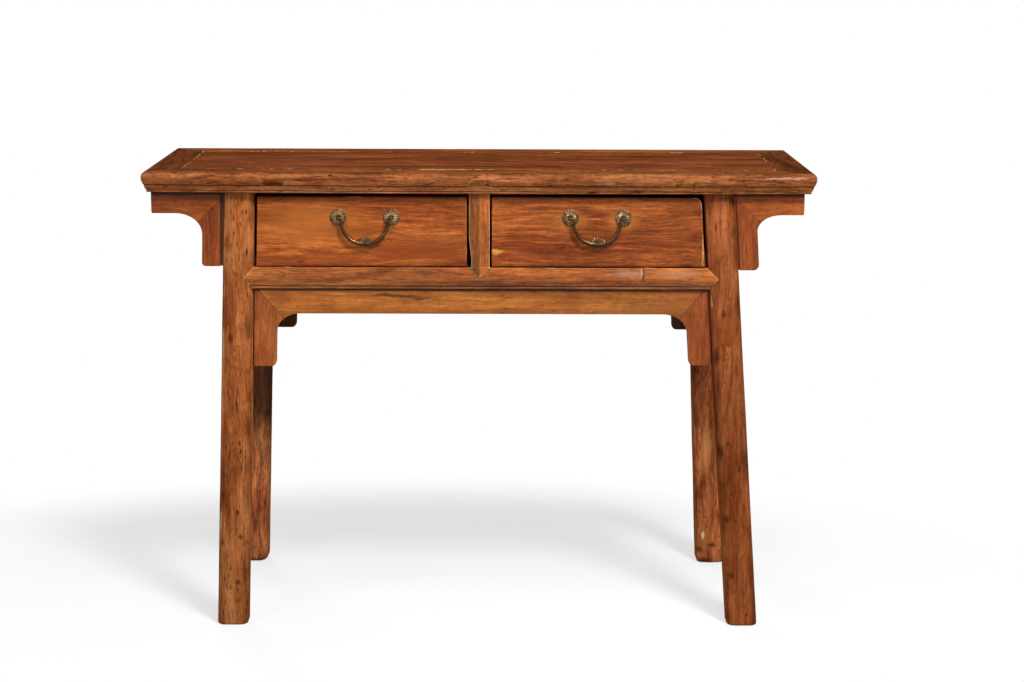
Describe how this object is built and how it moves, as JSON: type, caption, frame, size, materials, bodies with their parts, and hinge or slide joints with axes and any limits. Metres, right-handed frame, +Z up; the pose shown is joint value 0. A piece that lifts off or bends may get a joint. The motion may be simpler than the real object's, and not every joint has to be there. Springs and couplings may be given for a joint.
{
  "type": "two-drawer coffer",
  "caption": "Recessed-leg coffer table with a framed panel top, splayed square legs, side-by-side dovetailed drawers on bail pulls, and curved hanging spandrels.",
  "frame": {"origin": "on the floor, under the middle of the top", "axes": "+Z up, +X to the right of a person facing the drawers, the drawers open towards -Y"},
  "size_m": [1.2, 0.4754, 0.83],
  "materials": {
    "top_frame_wood": "waxed, worn",
    "top_end_wood": "waxed, worn",
    "top_panel_wood": "waxed, worn",
    "batten_wood": "waxed, worn",
    "leg_wood": "waxed, worn",
    "rail_wood": "waxed, worn",
    "muntin_wood": "waxed, worn",
    "end_rail_wood": "waxed, worn",
    "side_panel_wood": "waxed, worn",
    "back_panel_wood": "waxed, worn",
    "apron_wood": "waxed, worn",
    "spandrel_wood": "waxed, worn",
    "runner_wood": "waxed, worn",
    "drawer_front_wood": "waxed, worn",
    "drawer_side_wood": "waxed, worn",
    "drawer_back_wood": "waxed, worn",
    "drawer_bottom_wood": "waxed, worn",
    "rosette_brass": "aged, dark patina",
    "post_brass": "aged, dark patina",
    "bail_brass": "aged, dark patina"
  },
  "bodies": {
    "frame": {"apron_front": "apron_wood", "apron_rear": "apron_wood", "back_panel": "back_panel_wood", "drawer_guide_centre": "runner_wood", "drawer_guide_left": "runner_wood", "drawer_guide_right": "runner_wood", "drawer_rail": "rail_wood", "drawer_runner_centre": "runner_wood", "drawer_runner_left": "runner_wood", "drawer_runner_right": "runner_wood", "front_left_leg": "leg_wood", "front_right_leg": "leg_wood", "hanging_arm_front_left": "apron_wood", "hanging_arm_front_right": "apron_wood", "hanging_arm_rear_left": "apron_wood", "hanging_arm_rear_right": "apron_wood", "hanging_drop_front_left": "spandrel_wood", "hanging_drop_front_right": "spandrel_wood", "hanging_drop_rear_left": "spandrel_wood", "hanging_drop_rear_right": "spandrel_wood", "muntin": "muntin_wood", "rear_left_leg": "leg_wood", "rear_rail": "rail_wood", "rear_right_leg": "leg_wood", "side_panel_left": "side_panel_wood", "side_panel_right": "side_panel_wood", "side_rail_left": "end_rail_wood", "side_rail_right": "end_rail_wood", "side_stretcher_left": "end_rail_wood", "side_stretcher_right": "end_rail_wood", "spandrel_front_left": "spandrel_wood", "spandrel_front_right": "spandrel_wood", "spandrel_rear_left": "spandrel_wood", "spandrel_rear_right": "spandrel_wood", "top_batten_centre": "batten_wood", "top_batten_left": "batten_wood", "top_batten_right": "batten_wood", "top_front_member": "top_frame_wood", "top_left_member": "top_end_wood", "top_panel": "top_panel_wood", "top_rear_member": "top_frame_wood", "top_right_member": "top_end_wood"},
    "left_drawer": {"left_drawer_front": "drawer_front_wood", "left_drawer_inner_side": "drawer_side_wood", "left_drawer_outer_side": "drawer_side_wood", "left_drawer_back": "drawer_back_wood", "left_drawer_bottom": "drawer_bottom_wood", "left_rosettes": "rosette_brass", "left_eye_posts": "post_brass"},
    "right_drawer": {"right_drawer_front": "drawer_front_wood", "right_drawer_inner_side": "drawer_side_wood", "right_drawer_outer_side": "drawer_side_wood", "right_drawer_back": "drawer_back_wood", "right_drawer_bottom": "drawer_bottom_wood", "right_rosettes": "rosette_brass", "right_eye_posts": "post_brass"},
    "left_pull": {"left_bail": "bail_brass"},
    "right_pull": {"right_bail": "bail_brass"}
  },
  "joints": [
    {"name": "left_drawer_slide", "type": "slide", "parent": "frame", "child": "left_drawer", "axis": [0, -1, 0], "range_m": [0, 0.27]},
    {"name": "left_bail_swing", "type": "hinge", "parent": "left_drawer", "child": "left_pull", "pos_m": [-0.205, -0.20905, 0.747], "axis": [-1, 0, 0], "range_deg": [-7, 150]},
    {"name": "right_drawer_slide", "type": "slide", "parent": "frame", "child": "right_drawer", "axis": [0, -1, 0], "range_m": [0, 0.27]},
    {"name": "right_bail_swing", "type": "hinge", "parent": "right_drawer", "child": "right_pull", "pos_m": [0.2105, -0.20905, 0.747], "axis": [-1, 0, 0], "range_deg": [-7, 150]}
  ]
}
